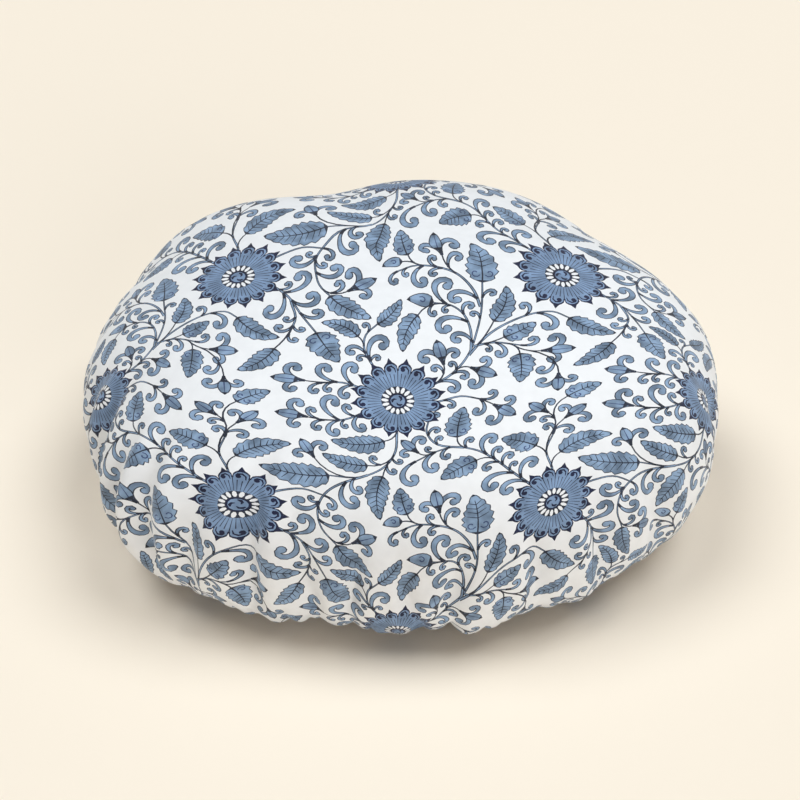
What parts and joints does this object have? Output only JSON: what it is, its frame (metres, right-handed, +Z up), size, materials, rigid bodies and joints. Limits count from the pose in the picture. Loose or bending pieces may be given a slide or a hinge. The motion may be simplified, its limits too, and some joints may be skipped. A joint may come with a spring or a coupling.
{
  "type": "shower cap",
  "caption": "Puffed lined shower cap: a printed cloth disc and a waterproof lining gathered into an elastic hem, standing with its opening down.",
  "frame": {"origin": "on the table, under the middle of the cap's box, in the plane of the hem's flat underside", "axes": "+Z up towards the crown, +X along the cap's longest side, +Y away from the viewer of the picture"},
  "size_m": [0.2884, 0.2604, 0.121],
  "materials": {
    "printed_fabric": "smooth plain-weave polyester, white with a blue scrolling print",
    "lining_film": "soft satin waterproof film",
    "hem_fabric": "plain-weave polyester",
    "elastic": "ribbed knitted elastic",
    "thread": "spun polyester sewing thread"
  },
  "bodies": {
    "root": {"outer_shell": "printed_fabric", "inner_lining": "lining_film", "hem_casing": "hem_fabric", "elastic_band": "elastic", "needle_thread": "thread", "bobbin_thread": "thread"}
  },
  "joints": []
}
